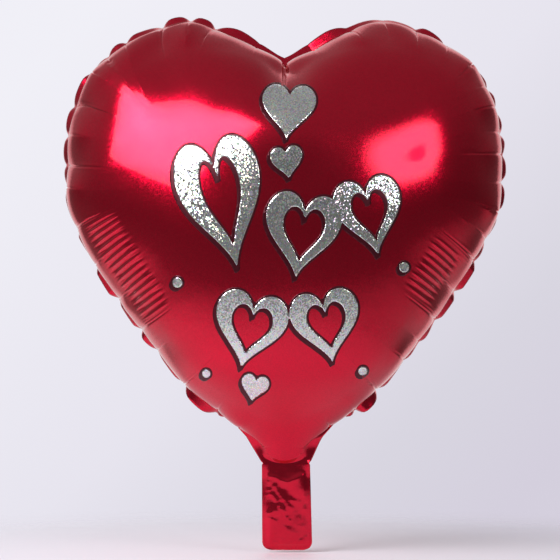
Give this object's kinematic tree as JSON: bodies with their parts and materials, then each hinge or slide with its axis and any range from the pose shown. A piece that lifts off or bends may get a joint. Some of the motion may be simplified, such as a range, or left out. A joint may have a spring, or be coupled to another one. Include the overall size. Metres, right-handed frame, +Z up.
{
  "type": "heart-shaped foil balloon",
  "caption": "Inflated heart-shaped balloon of red metallised film, two bulged sheets welded round a flat border, with a folding flat filling tail and an inner film valve.",
  "frame": {"origin": "middle of the neck, on the line where the filling tail folds and a ribbon is tied", "axes": "+Z up through the notch between the lobes, +X across the balloon's width, +Y through its depth; the printed front faces -Y"},
  "size_m": [0.361, 0.1894, 0.4314],
  "materials": {
    "red_film": "metallised film under transparent red ink, satin mirror with a fine prismatic sparkle",
    "red_film_back": "metallised film under transparent red ink, satin mirror",
    "clear_film": "thin clear polyethylene, slightly milky",
    "silver_print": "bare prismatic silver film left unprinted, with rainbow glitter",
    "dark_print": "dark maroon ink round the silver ornament"
  },
  "bodies": {
    "balloon": {"front_panel": "red_film", "back_panel": "red_film_back", "valve_front_ply": "clear_film", "valve_back_ply": "clear_film"},
    "tail": {"tail_front_panel": "red_film", "tail_back_panel": "red_film_back", "inlet_front_ply": "clear_film", "inlet_back_ply": "clear_film"}
  },
  "joints": [
    {"name": "tail_fold", "type": "hinge", "parent": "balloon", "child": "tail", "pos_m": [0, 0, 0], "axis": [1, 0, 0], "range_deg": [-90, 90]}
  ]
}
